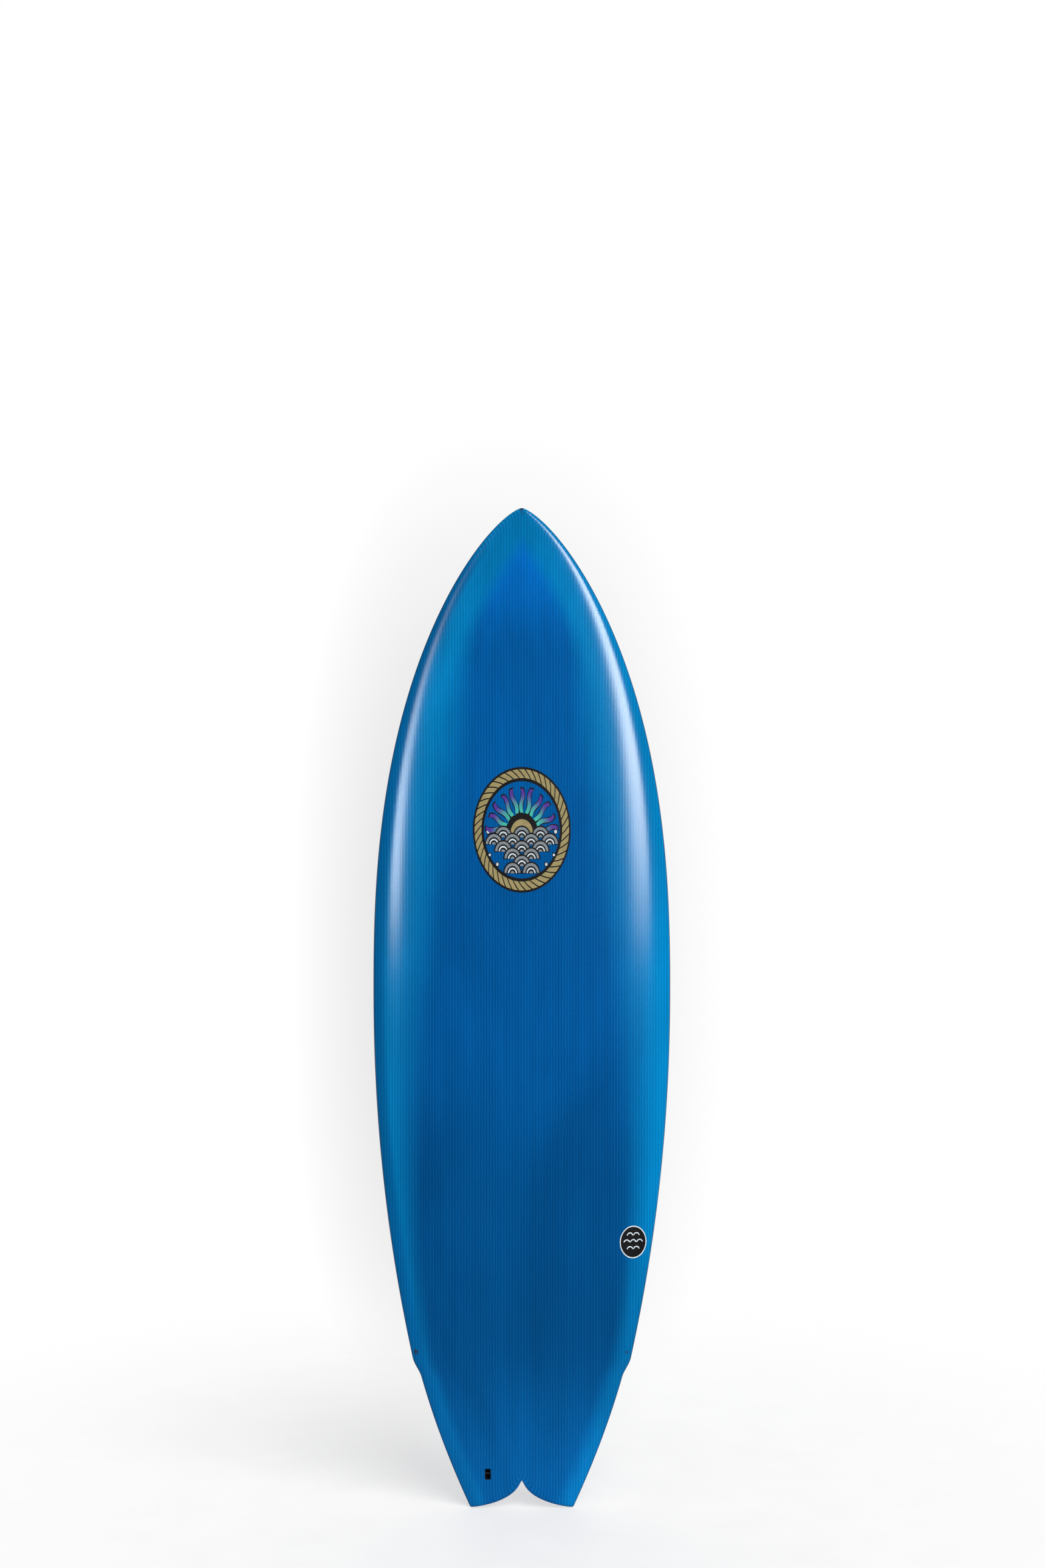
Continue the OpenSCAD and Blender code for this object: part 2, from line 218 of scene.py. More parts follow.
def combine(piece, operation, *tools):
    """Joins the tools' shapes to the piece, or cuts them out of it, then removes them."""
    for tool in tools:
        step = piece.modifiers.new("step", "BOOLEAN")
        step.operation = operation
        step.solver = "EXACT"
        step.object = tool
    graph = bpy.context.evaluated_depsgraph_get()
    mesh = bpy.data.meshes.new_from_object(piece.evaluated_get(graph))
    piece.modifiers.clear()
    piece.data = mesh
    for tool in tools:
        bpy.data.objects.remove(tool)


def round_box(half_x, half_y, corner, steps=8):
    """A rounded rectangle's outline."""
    points = []
    for turn, (x, y) in enumerate(((1, 1), (-1, 1), (-1, -1), (1, -1))):
        for k in range(steps + 1):
            a = math.radians(90 * (turn + k / steps))
            points.append((x * (half_x - corner) + corner * math.cos(a),
                           y * (half_y - corner) + corner * math.sin(a)))
    return points


# ---- Materials ----

def new_material(name, colour, roughness, **sockets):
    """A Principled material. Returns it with its node tree and shader."""
    look = bpy.data.materials.new(name)
    look.use_nodes = True
    shader = look.node_tree.nodes["Principled BSDF"]
    shader.inputs["Base Color"].default_value = (*colour, 1)
    shader.inputs["Roughness"].default_value = roughness
    for label, value in sockets.items():
        shader.inputs[label.replace("_", " ").title().replace("Ior", "IOR")].default_value = value
    return look, look.node_tree, shader


def put(tree, kind, inputs, **settings):
    """Adds a node, with each input a value or another node's output."""
    made = tree.nodes.new("ShaderNode" + kind)
    for label, value in settings.items():
        setattr(made, label, value)
    for label, value in inputs.items():
        if isinstance(value, bpy.types.NodeSocket):
            tree.links.new(value, made.inputs[label])
        else:
            made.inputs[label].default_value = value
    return made


def calc(tree, operation, a, b=0.0):
    return put(tree, "Math", {0: a, 1: b}, operation=operation).outputs[0]


def ramp(tree, value, low, high, to_low=0.0, to_high=1.0):
    """Eases from to_low to to_high as value goes from low to high."""
    inputs = {"Value": value, "From Min": low, "From Max": high, "To Min": to_low, "To Max": to_high}
    return put(tree, "MapRange", inputs, interpolation_type="SMOOTHSTEP").outputs[0]


def blend(tree, factor, a, b, how="MIX"):
    """Mixes two colours, each a tuple or an output."""
    a, b = (c if isinstance(c, bpy.types.NodeSocket) else (*c, 1) for c in (a, b))
    return put(tree, "Mix", {0: factor, 6: a, 7: b}, data_type="RGBA", blend_type=how).outputs[2]


def noise(tree, scale, stretch=(1, 1, 1), detail=3.0, distort=0.0):
    """Noise in the object's own frame, stretched along an axis where its factor is small."""
    place = put(tree, "TexCoord", {}).outputs["Object"]
    spread = put(tree, "VectorMath", {0: place, 1: stretch}, operation="MULTIPLY").outputs[0]
    inputs = {"Vector": spread, "Scale": scale, "Detail": detail, "Distortion": distort}
    return put(tree, "TexNoise", inputs).outputs["Fac"]


def relief(tree, shader, height, distance, strength):
    bump = put(tree, "Bump", {"Height": height, "Distance": distance, "Strength": strength})
    tree.links.new(bump.outputs[0], shader.inputs["Normal"])


def shade_by(tree, tint, amount):
    """Multiplies a colour by one number."""
    gray = put(tree, "CombineColor", {0: amount, 1: amount, 2: amount}).outputs[0]
    return blend(tree, 1.0, tint, gray, "MULTIPLY")


def tint_along(tree):
    """The tint by height up the board, from the tail to the nose."""
    place = put(tree, "TexCoord", {}).outputs["Object"]
    up = calc(tree, "DIVIDE", put(tree, "SeparateXYZ", {"Vector": place}).outputs[2], LENGTH)
    made = put(tree, "ValToRGB", {"Fac": up})
    made.color_ramp.interpolation = "EASE"
    while len(made.color_ramp.elements) < len(BLUES):
        made.color_ramp.elements.new(0.5)
    for stop, (height, colour) in zip(made.color_ramp.elements, BLUES):
        stop.position = height
        stop.color = (*colour, 1)
    return made.outputs[0]


def add_spots(tree, tint):
    """Ragged spots of dark resin."""
    ragged = ramp(tree, noise(tree, 260, (1, 1, 0.4), 4), 0.3, 0.7, 0.4, 1.6)
    point = put(tree, "TexCoord", {}).outputs["Object"]
    flat = put(tree, "VectorMath", {0: point, 1: (1, 0, 1)}, operation="MULTIPLY").outputs[0]
    for x, z, radius in RESIN_SPOTS:
        off = put(tree, "VectorMath", {0: flat, 1: (x, 0, z)}, operation="DISTANCE").outputs["Value"]
        spot = ramp(tree, calc(tree, "MULTIPLY", off, ragged), radius, 0.4 * radius, 0.0, 0.8)
        tint = blend(tree, spot, tint, DARK_RESIN)
    return tint


def laminate_material(name, side):
    """Tinted resin over ribbed cloth: fine bright threads along the board, clouds of tint, dark resin at the
    edges and a lighter cyan toward the rails, partly the resin's tint and partly painted light. The deck
    also has painted shade along its left rail and a few spots of dark resin."""
    look, tree, shader = new_material(name, BLUES[2][1], 0.15, specular_ior_level=0.30)
    ribs = put(tree, "SeparateXYZ", {"Vector": put(tree, "UVMap", {}, uv_map="ribs").outputs[0]})
    place = put(tree, "SeparateXYZ", {"Vector": put(tree, "UVMap", {}, uv_map="place").outputs[0]})
    across, inside, edge = ribs.outputs[0], place.outputs[0], place.outputs[1]
    wave = calc(tree, "SINE", calc(tree, "MULTIPLY", across, 2 * math.pi / RIB_PITCH))
    thread = ramp(tree, wave, -0.1, 1.0)
    cloud = noise(tree, 5.0, (1, 1, 0.4), 5, 0.8)
    streak = noise(tree, 70, (1, 1, 0.05), 2)
    weave = noise(tree, 1100, (1, 1, 0.6), 2)
    tint = tint_along(tree)
    height = ribs.outputs[1]
    # Lighter cyan toward the rails, reaching furthest where the softboxes fall: partly the resin's tint,
    # partly painted light
    reach = ramp(tree, height, 0.20, 1.25, 0.045, 0.148)
    reach = calc(tree, "MULTIPLY", reach, ramp(tree, height, 1.30, 1.55, 1.0, 0.60))
    full = ramp(tree, height, 0.70, 1.20, 0.008, 0.050)
    share = ramp(tree, height, 0.15, 0.70, 0.40, 0.95)
    toward_rail_tint_and_light = calc(tree, "MULTIPLY", ramp(tree, inside, reach, full), share)
    tint = blend(tree, toward_rail_tint_and_light, tint, RAIL_TINT_AND_PAINTED_LIGHT)
    # Painted shade along the deck's left rail, the side away from the light, within about 28 mm of the edge
    if side == DECK:
        on_left = ramp(tree, across, -0.05, -0.10, 0.0, 0.7)
        left_painted_shade = calc(tree, "MULTIPLY", ramp(tree, inside, 0.028, 0.014), on_left)
        tint = blend(tree, left_painted_shade, tint, LEFT_RAIL_PAINTED_SHADE)
    tint = shade_by(tree, tint, ramp(tree, cloud, 0.3, 0.72, 1.10, 0.86))
    tint = shade_by(tree, tint, ramp(tree, streak, 0.25, 0.75, 0.95, 1.05))
    tint = shade_by(tree, tint, ramp(tree, weave, 0.25, 0.75, 0.92, 1.08))
    tint = shade_by(tree, tint, ramp(tree, thread, 0.0, 1.0, 0.90, 1.20))
    lip = ramp(tree, edge, 0.0030, 0.0004, 0.0, 0.6)
    tint = blend(tree, lip, tint, DARK_RESIN)
    if side == DECK:
        tint = add_spots(tree, tint)
    tree.links.new(tint, shader.inputs["Base Color"])
    tree.links.new(ramp(tree, weave, 0.25, 0.8, 0.12, 0.18), shader.inputs["Roughness"])
    relief(tree, shader, thread, 0.00002, 0.5)
    return look


def plastic_material(name, colour, roughness):
    """Moulded plastic with a fine grain and small colour changes."""
    look, tree, shader = new_material(name, colour, roughness)
    pits = noise(tree, 700, detail=4)
    wear = noise(tree, 30, detail=3)
    lighter = tuple(0.02 + 1.5 * c for c in colour)
    tree.links.new(blend(tree, ramp(tree, wear, 0.45, 0.8), colour, lighter), shader.inputs["Base Color"])
    tree.links.new(ramp(tree, wear, 0.3, 0.7, roughness - 0.06, roughness + 0.1), shader.inputs["Roughness"])
    relief(tree, shader, pits, 0.00008, 0.6)
    return look


def steel_material(name):
    look, tree, shader = new_material(name, (0.62, 0.63, 0.66), 0.28, metallic=1.0)
    lines = noise(tree, 400, (0.05, 1, 1), 3)
    tree.links.new(blend(tree, lines, (0.50, 0.51, 0.54), (0.72, 0.73, 0.76)), shader.inputs["Base Color"])
    tree.links.new(ramp(tree, lines, 0.3, 0.7, 0.2, 0.4), shader.inputs["Roughness"])
    relief(tree, shader, lines, 0.00003, 0.5)
    return look


def foam_material():
    """Expanded beads, pressed together."""
    look, tree, shader = new_material("bead_foam", (0.86, 0.87, 0.86), 0.75)
    place = put(tree, "TexCoord", {}).outputs["Object"]
    beads = put(tree, "TexVoronoi", {"Vector": place, "Scale": 320.0})
    seam = ramp(tree, beads.outputs["Distance"], 0.25, 0.6)
    tree.links.new(blend(tree, seam, (0.88, 0.89, 0.88), (0.70, 0.72, 0.73)), shader.inputs["Base Color"])
    relief(tree, shader, beads.outputs["Distance"], 0.0004, 0.5)
    return look


def ink_material(name, colour, second=None):
    """Printed ink under resin, mottled, or graded from colour to second along the shape."""
    look, tree, shader = new_material(name, colour, 0.38, specular_ior_level=0.35)
    mottle = ramp(tree, noise(tree, 130, detail=4, distort=0.5), 0.3, 0.72)
    tint = blend(tree, calc(tree, "MULTIPLY", mottle, 0.30), colour, tuple(0.45 * c for c in colour))
    if second:
        grade = put(tree, "SeparateXYZ", {"Vector": put(tree, "UVMap", {}, uv_map="grade").outputs[0]})
        tint = blend(tree, ramp(tree, grade.outputs[1], 0.05, 0.85), tint, second)
    tree.links.new(tint, shader.inputs["Base Color"])
    relief(tree, shader, noise(tree, 900), 0.00004, 0.4)
    return look


def fin_material():
    """Dark moulded composite with chopped fibres showing faintly."""
    look, tree, shader = new_material("fin_composite", (0.018, 0.02, 0.024), 0.42)
    fibres = noise(tree, 260, (1, 1, 0.25), 5, 1.5)
    tree.links.new(blend(tree, ramp(tree, fibres, 0.45, 0.75), (0.020, 0.023, 0.027), (0.075, 0.082, 0.092)),
                   shader.inputs["Base Color"])
    tree.links.new(ramp(tree, fibres, 0.3, 0.8, 0.36, 0.5), shader.inputs["Roughness"])
    relief(tree, shader, fibres, 0.00005, 0.5)
    return look


# The tint from the tail to the nose: share of the length, then the colour
BLUES = [(0.02, (0.0002, 0.100, 0.325)), (0.18, (0.0002, 0.069, 0.226)), (0.30, (0.0002, 0.075, 0.250)),
         (0.50, (0.0002, 0.104, 0.360)), (0.85, (0.0002, 0.115, 0.400)), (0.97, (0.0002, 0.205, 0.750))]
# The rails' lighter cyan: partly the resin's own tint, partly painted light scattered through the resin
RAIL_TINT_AND_PAINTED_LIGHT = (0.0002, 0.250, 0.600)
# Painted shade for the deck's left rail, the side away from the light
LEFT_RAIL_PAINTED_SHADE = (0.0002, 0.115, 0.350)
DARK_RESIN = (0.030, 0.030, 0.038)
deck_look = laminate_material("tinted_deck", DECK)
bottom_look = laminate_material("tinted_bottom", BOTTOM)
foam_look = foam_material()
plug_look = plastic_material("plug_black", (0.012, 0.012, 0.014), 0.45)
box_look = plastic_material("box_black", (0.016, 0.016, 0.018), 0.42)
steel_look = steel_material("brushed_steel")
fin_look = fin_material()
BLACK = ink_material("ink_black", (0.008, 0.008, 0.010))
GOLD = ink_material("ink_gold", (0.43, 0.35, 0.15))
RAYS = ink_material("ink_rays", (0.06, 0.58, 0.48), (0.10, 0.035, 0.36))
SILVER = ink_material("ink_silver", (0.27, 0.31, 0.34))
WHITE = ink_material("ink_white", (0.72, 0.80, 0.86))


# ---- The two laminates, which meet along the rail ----

NOSE_ROWS, WING_ROWS, TAIL_ROWS, ROUND_ROWS, COLUMNS = 130, 16, 64, 8, 44


def grid_rows():
    """Row heights from the nose tip to the tail edge, close together at the tip, the wing and the edge."""
    nose = LENGTH - (LENGTH - WING_TOP) * (np.arange(NOSE_ROWS + 1) / NOSE_ROWS) ** 1.7
    wing = np.linspace(WING_TOP, WING_BOTTOM, WING_ROWS + 1)[1:]
    tail = np.linspace(WING_BOTTOM, EDGE_ROUND, TAIL_ROWS + 1)[1:]
    edge = EDGE_ROUND * (1 - np.sin(math.pi / 2 * np.arange(ROUND_ROWS + 1) / ROUND_ROWS))[1:]
    return np.concatenate((nose, wing, tail, edge))


def surface_grid(side, e):
    """Points over one side of the board, and the s and q that made them."""
    q, s = np.meshgrid(grid_rows(), np.sin(math.pi / 2 * np.linspace(-1, 1, 2 * COLUMNS + 1)), indexing="ij")
    up = mix(WIDE_Z, LENGTH - e, (q - WIDE_Z) / (LENGTH - WIDE_Z))
    down = q + (tail_edge(s) + e) * np.maximum(1 - q / TAIL_ZONE, 0)
    z = np.where(q > WIDE_Z, up, down)
    wide = smooth_half(z, e)
    x = s * wide + np.sign(s) * (rail_half(z, e) - wide) * np.abs(s) ** 6
    gap = np.where(q > WIDE_Z, (LENGTH - q) / NOSE_ROUND, q / EDGE_ROUND)
    full = np.sqrt(1 - (1 - np.clip(gap, 0, 1)) ** 2)
    return np.stack((x, surface_y(side, s, z, e, full), z), axis=-1), s, q


def rib_maps(points, s):
    """Where each point lies across the ribs, which turn square to the edge just before it,
    and how far it is from the rail and from the nearest edge."""
    x, z = points[..., 0], points[..., 2]
    above = z - tail_edge(s)
    slope = (tail_edge(s + 0.01) - tail_edge(s - 0.01)) / (0.02 * smooth_half(z))
    reach = 0.026
    near_tail = np.clip(1 - above / reach, 0, 1) ** 2 * reach / 2 * np.clip(slope, -1.1, 1.1)
    inside = rail_half(z) - np.abs(x)
    near_nose = np.clip(1 - inside / 0.018, 0, 1) ** 2 * 0.007 * ease((z - 1.60) / 0.09) * np.sign(x)
    rib = x - near_tail * (1 - np.abs(s) ** 8) - near_nose
    return {"ribs": np.stack((rib, z), -1).reshape(-1, 2),
            "place": np.stack((inside, np.minimum(above, inside)), -1).reshape(-1, 2)}


def laminate(name, side):
    """One closed shell, from the outside in to the foam."""
    outer, s, _ = surface_grid(side, 0.0)
    inner, _, _ = surface_grid(side, SKIN_T)
    rows, columns = s.shape
    count = rows * columns
    skin = grid_faces(rows, columns)
    core = turned(grid_faces(rows, columns, count))
    grid = np.arange(count).reshape(rows, columns)
    rim = np.concatenate((grid[:, 0], grid[-1, 1:], grid[-2::-1, -1]))
    edge = [(a, a + count, b + count, b) for a, b in zip(rim[:-1], rim[1:])]
    # The top row is one point, so its faces have three corners
    tip = {int(k): (0 if k < count else count) for k in (*grid[0], *(grid[0] + count))}
    faces = []
    for face in skin + core + edge:
        corners = list(dict.fromkeys(tip.get(int(k), int(k)) for k in face))
        if len(corners) > 2:
            faces.append(tuple(corners))
    used = sorted({k for f in faces for k in f})
    place = {k: i for i, k in enumerate(used)}
    faces = [tuple(place[k] for k in f) for f in faces]
    verts = np.concatenate((outer.reshape(-1, 3), inner.reshape(-1, 3)))[used]
    maps = {label: np.concatenate((v, v))[used] for label, v in rib_maps(outer, s).items()}
    return add_object(name, verts, faces if side == DECK else turned(faces), maps)


def fin_frame(side):
    z = (CENTER_FIN_REAR if side == CENTER else SIDE_FIN_REAR) + FIN_BASE / 2
    x = side * (float(rail_half(z)) - FIN_INSET)
    return skin_frame(BOTTOM, x, z) @ Matrix.Rotation(math.radians(-side * FIN_TOE), 4, "Z")


deck = laminate("deck_laminate", DECK)
slot_outline = round_box(SLOT[0] / 2, SLOT[1] / 2, SLOT[2])
slot_tool = prism("slot_tool", slot_outline, -CUT_REACH, CUT_REACH, skin_frame(DECK, *LEASH_AT))
combine(deck, "DIFFERENCE", slot_tool)
dress(deck, "board", "deck_laminate", deck_look, "deck_skin")

bottom = laminate("bottom_laminate", BOTTOM)
box_outline = round_box(BOX[0] / 2, BOX[1] / 2, BOX[0] / 2 - 1e-5, 16)
box_tools = [prism(f"box_tool_{label}", box_outline, -CUT_REACH, CUT_REACH, fin_frame(side))
             for label, side in SIDES.items()]
combine(bottom, "DIFFERENCE", *box_tools)
dress(bottom, "board", "bottom_laminate", bottom_look, "bottom_skin")


# ---- Fins ----

def foil(u):
    return 2.598 * np.sqrt(u) * (1 - u)


def blade(name, side, place):
    """A swept blade. The side fins are flatter inside."""
    rows, points = 44, 40
    v = 0.008 + 0.977 * np.sin(math.pi / 2 * np.arange(rows + 1) / rows)
    u = (1 - np.cos(math.pi * np.arange(points + 1) / points)) / 2
    loop_u = np.concatenate((u, u[::-1][1:-1]))
    outside = np.concatenate((np.ones(points + 1), np.zeros(points - 1)))
    v, loop_u = np.meshgrid(v, loop_u, indexing="ij")
    share = 0.5 if side == CENTER else 0.2
    full_t = FIN_T - FIN_EDGE
    t = full_t * (1 - 0.7 * v) * foil(loop_u)
    taper = np.clip(np.minimum(loop_u, 1 - loop_u) / 0.004, 0, 1) ** 0.5
    rim = FIN_EDGE / 2 * taper
    bulge = np.where(outside > 0, (1 - share) * t + rim, -share * t - rim)
    z = SEAT_GAP + v * FIN_HEIGHT
    lean = abs(side) * z * math.tan(math.radians(FIN_CANT)) - (0.5 - share) * full_t
    turn = -1 if side == LEFT else 1
    chord = FIN_BASE * (1 - v ** 1.5) ** 0.7
    rear = FIN_BASE / 2 - 0.012 * np.sin(math.pi * v) + 0.022 * v * v
    local = np.stack((turn * (bulge + lean), rear - chord * (1 - loop_u), z), -1)
    n = local.shape[1]
    verts = [place @ Vector(p) for p in local.reshape(-1, 3)]
    faces = grid_faces(rows + 1, n, wrap=True)
    faces += [tuple(range(n)), tuple(range(rows * n, (rows + 1) * n))[::-1]]
    return add_object(name, verts, turned(faces) if turn == 1 else faces)


def fin(name, side):
    """A blade joined to its foot and its two tabs."""
    place = fin_frame(side)
    made = blade(name, side, place)
    foot_half = FIN_T / 2 + 0.0004
    foot_outline = round_box(foot_half, FIN_BASE / 2, foot_half - 1e-5, 12)
    foot = prism("foot", foot_outline, SEAT_GAP, SEAT_GAP + FOOT_T, place)
    tab_outline = round_box(TAB[0] / 2, TAB[1] / 2, 0.001, 4)
    tabs = [prism(f"tab_{end}", tab_outline, -TAB[2], SEAT_GAP + FOOT_T / 2,
                  place @ Matrix.Translation((0, end * TAB_AT, 0))) for end in (-1, 1)]
    combine(made, "UNION", foot, *tabs)
    made.data.shade_smooth()
    made.data.set_sharp_from_angle(angle=math.radians(45))
    return made


for label, side in SIDES.items():
    dress(fin(f"blade_{label}", side), f"fin_{label}", "fin_plastic", fin_look, f"fin_{label}")


# ---- Prints: thin layers laid on the deck, each from strips whose points follow the surface ----

class Print:
    """Collects thin strips of one colour that follow the deck, then makes one piece of them."""

    def __init__(self, at, half):
        self.at, self.half = at, half
        self.verts, self.faces, self.grades = [], [], []

    def strip(self, layer, shape, along, across, closed=False):
        """Adds shape(a, b), which gives a place in the print's own half sizes for a and b from 0 to 1."""
        count = along if closed else along + 1
        start = len(self.verts)
        low = PRINT_LIFT + layer * LAYER
        for lift in (low + LAYER, low):
            for i in range(count):
                for j in range(across + 1):
                    u, v = shape(i / along, j / across)
                    x, z = self.at[0] + u * self.half[0], self.at[1] + v * self.half[1]
                    self.verts.append(skin_point(DECK, x, z) - Vector((0, lift, 0)))
                    self.grades.append((i / along, j / across))
        wide, sheet = across + 1, count * (across + 1)
        last = count if closed else count - 1

        def index(i, j, under=0):
            return start + under * sheet + (i % count) * wide + j

        for i in range(last):
            for j in range(across):
                corners = ((i, j), (i + 1, j), (i + 1, j + 1), (i, j + 1))
                self.faces.append([index(*corner) for corner in corners])
                self.faces.append([index(*corner, 1) for corner in corners[::-1]])
            for j, flip in ((0, 1), (across, -1)):
                wall = (index(i, j), index(i, j, 1), index(i + 1, j, 1), index(i + 1, j))
                self.faces.append(wall[::flip])
        if not closed:
            for i, flip in ((0, 1), (count - 1, -1)):
                for j in range(across):
                    wall = (index(i, j + 1), index(i, j + 1, 1), index(i, j, 1), index(i, j))
                    self.faces.append(wall[::flip])

    def piece(self, name, slot, look, *stands_for):
        made = add_object(name, self.verts, self.faces, {"grade": np.array(self.grades)}, 60)
        return dress(made, "board", slot, look, *stands_for)


def ring(inner, outer, centre=(0.0, 0.0), start=0.0, sweep=360.0):
    """A ring or an arc of one, as a strip's shape."""
    def shape(a, b):
        angle = math.radians(start + sweep * a)
        r = mix(inner, outer, b)
        return centre[0] + r * math.cos(angle), centre[1] + r * math.sin(angle)
    return shape


def ray(angle, inner, outer, spread, centre, sway):
    """A tapered ray with a wavy middle line, wide at its inner end."""
    def shape(a, b):
        r = mix(inner, outer, b)
        lean = sway * math.sin(2 * math.pi * b)
        turn = math.radians(angle + lean + (1 - 2 * a) * mix(spread, 0.42 * spread, b))
        return centre[0] + r * math.cos(turn), centre[1] + r * math.sin(turn)
    return shape


def scale_rows(radius, step, top, rows, limit):
    """Centres of the overlapping half discs of a wave pattern that fit inside an oval, with their rows."""
    places = []
    for row in range(rows):
        height = top - step * row
        for k in range(-4, 5):
            across = 2 * radius * (k + 0.5 * (row % 2))
            if math.hypot(abs(across) + radius, height) < limit:
                places.append((row, (across, height)))
    return places


def emblem():
    """A rope-edged oval with a rising sun over waves."""
    black, gold, rays, silver, white = (Print(EMBLEM_AT, EMBLEM_HALF) for _ in range(5))
    black.strip(0, ring(0.775, 1.0), 120, 3, True)
    twists = 44
    for k in range(twists):
        def twist(a, b, k=k):
            angle = 2 * math.pi * (k + 0.10 + 0.78 * a + 1.1 * (b - 0.5)) / twists
            r = mix(0.825, 0.965, b)
            return r * math.cos(angle), r * math.sin(angle)
        gold.strip(1, twist, 2, 6)

    sun, sun_r, count = (0.0, -0.06), 0.23, 11
    for k in range(count):
        angle = 7 + (180 - 14) * k / (count - 1)
        sway = 2.5 if k % 2 else -2.5
        black.strip(0, ray(angle, 0.29, 0.76 - 0.02 * (k % 2), 7.6, sun, sway), 3, 16)
        rays.strip(1, ray(angle, 0.335, 0.735 - 0.02 * (k % 2), 5.4, sun, sway), 2, 16)
    black.strip(1, ring(sun_r, sun_r + 0.085, sun, 0, 180), 32, 1)
    gold.strip(1, ring(0.09, sun_r, sun, 0, 180), 32, 2)
    white.strip(1, ring(0.002, 0.09, sun, 0, 180), 20, 2)

    radius = 0.19
    for row, centre in scale_rows(radius, 0.115, sun[1] - 0.06, 6, 0.80):
        black.strip(2 + 2 * row, ring(0.001, radius, centre, 0, 180), 24, 3)
        for mark, inner, outer in ((silver, 0.120, 0.165), (white, 0.068, 0.094), (silver, 0.002, 0.040)):
            mark.strip(3 + 2 * row, ring(inner, outer, centre, 4, 172), 20, 1)
    for side in (-1, 1):
        for across, height, size in ((0.69, -0.03, 0.030), (0.655, -0.40, 0.022), (0.50, -0.55, 0.026)):
            black.strip(0, ring(0.002, size + 0.016, (side * across, height)), 20, 1, True)
            white.strip(1, ring(0.002, size, (side * across, height)), 20, 1, True)

    black.piece("emblem_outline", "emblem_print", BLACK, "deck_emblem")
    gold.piece("emblem_rope", "emblem_print", GOLD)
    rays.piece("emblem_rays", "emblem_print", RAYS)
    silver.piece("emblem_waves", "emblem_print", SILVER)
    white.piece("emblem_foam", "emblem_print", WHITE)


def badge():
    """A small black oval with a white edge and three white swells."""
    black, white = (Print(BADGE_AT, BADGE_HALF) for _ in range(2))
    black.strip(0, ring(0.002, 0.93), 60, 4, True)
    white.strip(0, ring(0.93, 1.0), 60, 1, True)
    for height, half in ((0.42, 2), (0.0, 3), (-0.42, 2)):
        for k in range(-half + 1, half, 2):
            white.strip(1, ring(0.19, 0.26, (0.24 * k, height - 0.08), 20, 140), 12, 1)
    black.piece("badge_field", "badge_print", BLACK, "rail_badge")
    white.piece("badge_marks", "badge_print", WHITE)


emblem()
badge()


# ---- CAD nodes that stay, with their finishes ----

KEPT = {"foam_core": foam_look, "leash_cup": plug_look, "leash_pin": steel_look}
for label in SIDES:
    KEPT[f"fin_box_{label}"] = box_look
    KEPT[f"screw_{label}_front"] = steel_look
    KEPT[f"screw_{label}_rear"] = steel_look
for label, look in KEPT.items():
    nodes[label].data.materials.clear()
    nodes[label].data.materials.append(look)


# ---- Floor, camera and light ----

SOFTBOX_Y = -2.3           # the plane in front of the board where both softboxes stand
FLOOR_REACH = 1.9
# The oval shade on the backdrop, in slopes from straight ahead: its middle, its half size, how square it
# is, how dark its middle would be, and how much darker it is on the left
SHADE_AT, SHADE_HALF = (-0.0064, -0.0839), (0.0987, 0.245)
SHADE_POWER, SHADE_DEPTH, SHADE_TILT = 2.5, 0.394, 0.142
CAMERA_AWAY = 3.843        # from the bottom's flat middle
CAMERA_AT = (0.0012, 1.2555)

def add_floor():
    """A pale disc that glows a little and fades into the white round it."""
    rings, spokes = 6, 64
    verts = [(FLOOR_REACH * i / rings * math.cos(2 * math.pi * k / spokes),
              FLOOR_REACH * i / rings * math.sin(2 * math.pi * k / spokes), 0)
             for i in range(rings + 1) for k in range(spokes)]
    floor = add_object("studio_floor", verts, turned(grid_faces(rings + 1, spokes, wrap=True)))
    look, tree, shader = new_material("pale_floor", (0.42, 0.42, 0.42), 0.7,
                                      emission_color=(1, 1, 1, 1), emission_strength=0.50)
    mottle = ramp(tree, noise(tree, 9, detail=6), 0.3, 0.7)
    tree.links.new(blend(tree, mottle, (0.41, 0.41, 0.413), (0.43, 0.43, 0.43)), shader.inputs["Base Color"])
    place = put(tree, "TexCoord", {}).outputs["Object"]
    far = put(tree, "VectorMath", {0: place}, operation="LENGTH").outputs["Value"]
    tree.links.new(ramp(tree, far, 1.7, 0.25), shader.inputs["Alpha"])
    floor.data.materials.append(look)
    floor.visible_glossy = False


def place_light(name, light, location=(0, 0, 0), toward=(0, 1, 0)):
    lamp = bpy.data.objects.new(name, light)
    bpy.context.scene.collection.objects.link(lamp)
    lamp.location = location
    lamp.rotation_euler = Vector(toward).to_track_quat("-Z", "Y").to_euler()
    lamp.visible_camera = False
    return lamp


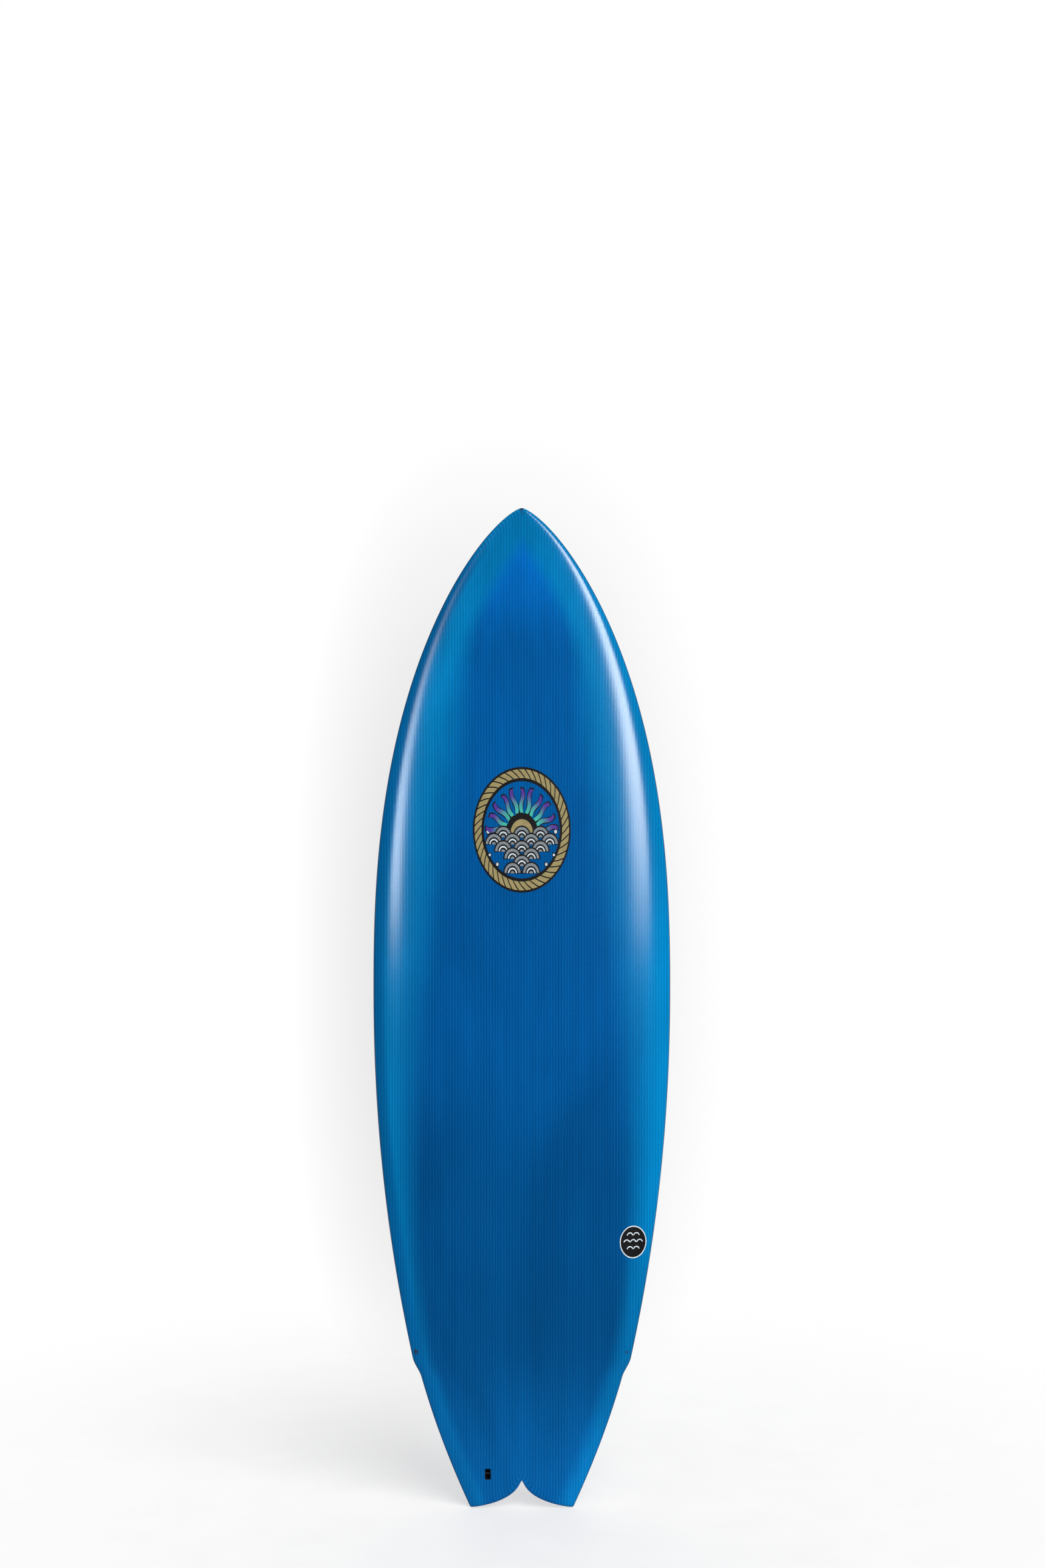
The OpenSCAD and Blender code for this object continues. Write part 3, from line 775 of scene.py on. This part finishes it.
def add_softbox(name, low, high, radiance):
    """An upright softbox in front of the board, from its low to its high corner, fading towards its edges.
    Only its reflection is used."""
    light = bpy.data.lights.new(name, "AREA")
    light.shape = "RECTANGLE"
    light.size, light.size_y = high[0] - low[0], high[1] - low[1]
    light.energy = radiance * math.pi * light.size * light.size_y
    light.use_nodes = True
    tree = light.node_tree
    place = put(tree, "NewGeometry", {}).outputs["Parametric"]
    spot = put(tree, "SeparateXYZ", {"Vector": place})
    sides = calc(tree, "SUBTRACT", 0.5, calc(tree, "ABSOLUTE", calc(tree, "SUBTRACT", spot.outputs[0], 0.5)))
    foot = calc(tree, "MINIMUM", calc(tree, "DIVIDE", spot.outputs[1], 0.45), 1.0)
    strength = calc(tree, "MULTIPLY", ramp(tree, sides, 0.0, 0.35), calc(tree, "POWER", foot, 2.0))
    strength = calc(tree, "MULTIPLY", strength, ramp(tree, spot.outputs[1], 1.0, 0.70, 0.25, 1.0))
    tree.links.new(strength, tree.nodes["Emission"].inputs["Strength"])
    middle = ((low[0] + high[0]) / 2, SOFTBOX_Y, (low[1] + high[1]) / 2)
    place_light(name, light, middle).visible_diffuse = False


def add_sun(toward, strength, spread):
    light = bpy.data.lights.new("key", "SUN")
    light.energy = strength
    light.angle = math.radians(spread)
    place_light("key", light, toward=toward).visible_glossy = False


def add_world():
    """White to the camera, with a faint oval shade behind the board. As a light it is dimmer,
    and reflections find it dark in front of the board."""
    world = bpy.data.worlds.new("studio")
    bpy.context.scene.world = world
    world.use_nodes = True
    tree = world.node_tree
    way = put(tree, "SeparateXYZ", {"Vector": put(tree, "TexCoord", {}).outputs["Generated"]})
    x, y, z = way.outputs
    ahead = calc(tree, "MAXIMUM", y, 0.001)

    def offset(value, middle, half):
        slope = calc(tree, "DIVIDE", value, ahead)
        return calc(tree, "DIVIDE", calc(tree, "SUBTRACT", slope, middle), half)

    beside = offset(x, SHADE_AT[0], SHADE_HALF[0])
    above = offset(z, SHADE_AT[1], SHADE_HALF[1])
    far = calc(tree, "ADD", calc(tree, "POWER", calc(tree, "ABSOLUTE", beside), SHADE_POWER),
               calc(tree, "POWER", calc(tree, "ABSOLUTE", above), SHADE_POWER))
    near = calc(tree, "MAXIMUM", calc(tree, "SUBTRACT", 1.0, calc(tree, "POWER", far, 1 / SHADE_POWER)), 0.0)
    depth = calc(tree, "SUBTRACT", SHADE_DEPTH, calc(tree, "MULTIPLY", beside, SHADE_TILT))
    backdrop = calc(tree, "SUBTRACT", 1.0, calc(tree, "MULTIPLY", near, depth))
    light = put(tree, "LightPath", {})
    diffuse = ramp(tree, y, -0.1, 0.9, 0.40, 0.95)
    glossy = ramp(tree, y, 0.0, 0.9, 0.0, 0.60)
    lighting = put(tree, "Mix", {0: light.outputs["Is Glossy Ray"], 2: diffuse, 3: glossy}).outputs[0]
    chosen = put(tree, "Mix", {0: light.outputs["Is Camera Ray"], 2: lighting, 3: backdrop}).outputs[0]
    tree.links.new(chosen, tree.nodes["Background"].inputs["Strength"])
    tree.nodes["Background"].inputs["Color"].default_value = (1, 1, 1, 1)


def add_camera():
    data = bpy.data.cameras.new("camera")
    data.lens = 50
    data.sensor_width = 36
    camera = bpy.data.objects.new("camera", data)
    bpy.context.scene.collection.objects.link(camera)
    camera.location = (CAMERA_AT[0], BOTTOM_Y - CAMERA_AWAY, CAMERA_AT[1])
    camera.rotation_euler = (math.radians(90), 0, 0)
    bpy.context.scene.camera = camera


add_camera()
add_floor()
add_world()
add_sun((-0.40, 0.60, -0.693), 2.4, 50)
add_softbox("softbox_right", (0.97, 0.70), (1.90, 1.80), 29)
add_softbox("softbox_left", (-2.14, 0.70), (-1.29, 1.40), 21)
bpy.context.scene.view_settings.view_transform = "Standard"
